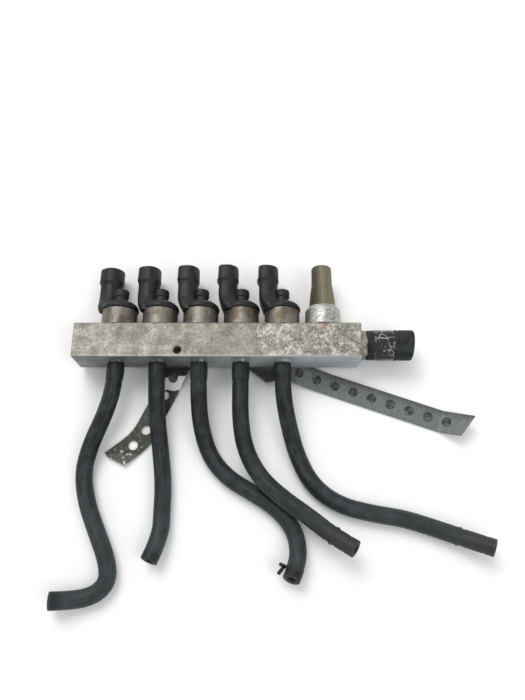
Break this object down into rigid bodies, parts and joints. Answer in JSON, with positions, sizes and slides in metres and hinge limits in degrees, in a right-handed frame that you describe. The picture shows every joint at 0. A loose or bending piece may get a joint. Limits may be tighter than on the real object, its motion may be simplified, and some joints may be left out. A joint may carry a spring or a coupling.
{
  "type": "fuel rail",
  "caption": "Gas injector rail: square aluminium bar with electromagnetic injectors on top, a port sensor, an inlet hose, outlet hoses below and perforated strip brackets.",
  "frame": {"origin": "middle of the rail block's closed end face, on the gallery's axis", "axes": "+X along the gallery to the inlet, +Y out of the injector ports, +Z out of the front face; the part lies on the screw heads at its back"},
  "size_m": [0.2727, 0.2253, 0.0297],
  "materials": {
    "rail_aluminium": "worn milled, dull with smudges",
    "valve_brass": "turned",
    "can_steel": "dull drawn steel",
    "cap_plastic": "moulded, satin with dust",
    "terminal_brass": "tinned, dull",
    "seal_rubber": "smooth",
    "nipple_brass": "turned",
    "hose_rubber": "fine cloth-marked, dusty",
    "sensor_zinc": "zinc plated, turned",
    "sensor_olive": "olive passivated, worn",
    "fitting_steel": "zinc plated, dull",
    "band_foil": "crinkled glossy tape",
    "strip_zinc": "galvanised, punched",
    "screw_steel": "zinc plated",
    "clamp_steel": "dull spring steel"
  },
  "bodies": {
    "root": {"rail_block": "rail_aluminium", "injector_valve_1": "valve_brass", "injector_can_1": "can_steel", "injector_cap_1": "cap_plastic", "injector_terminals_1": "terminal_brass", "injector_valve_2": "valve_brass", "injector_can_2": "can_steel", "injector_cap_2": "cap_plastic", "injector_terminals_2": "terminal_brass", "injector_valve_3": "valve_brass", "injector_can_3": "can_steel", "injector_cap_3": "cap_plastic", "injector_terminals_3": "terminal_brass", "injector_valve_4": "valve_brass", "injector_can_4": "can_steel", "injector_cap_4": "cap_plastic", "injector_terminals_4": "terminal_brass", "injector_valve_5": "valve_brass", "injector_can_5": "can_steel", "injector_cap_5": "cap_plastic", "injector_terminals_5": "terminal_brass", "port_seal_1": "seal_rubber", "port_seal_2": "seal_rubber", "port_seal_3": "seal_rubber", "port_seal_4": "seal_rubber", "port_seal_5": "seal_rubber", "port_seal_6": "seal_rubber", "outlet_nipple_1": "nipple_brass", "outlet_nipple_2": "nipple_brass", "outlet_nipple_3": "nipple_brass", "outlet_nipple_4": "nipple_brass", "outlet_nipple_5": "nipple_brass", "outlet_hose_1": "hose_rubber", "outlet_hose_2": "hose_rubber", "outlet_hose_3": "hose_rubber", "outlet_hose_4": "hose_rubber", "outlet_hose_5": "hose_rubber", "sensor_body": "sensor_zinc", "sensor_stem": "sensor_olive", "inlet_fitting": "fitting_steel", "inlet_hose": "hose_rubber", "inlet_band": "band_foil", "bracket_right": "strip_zinc", "bracket_left": "strip_zinc", "bracket_screws": "screw_steel", "hose_clamp": "clamp_steel"}
  },
  "joints": []
}
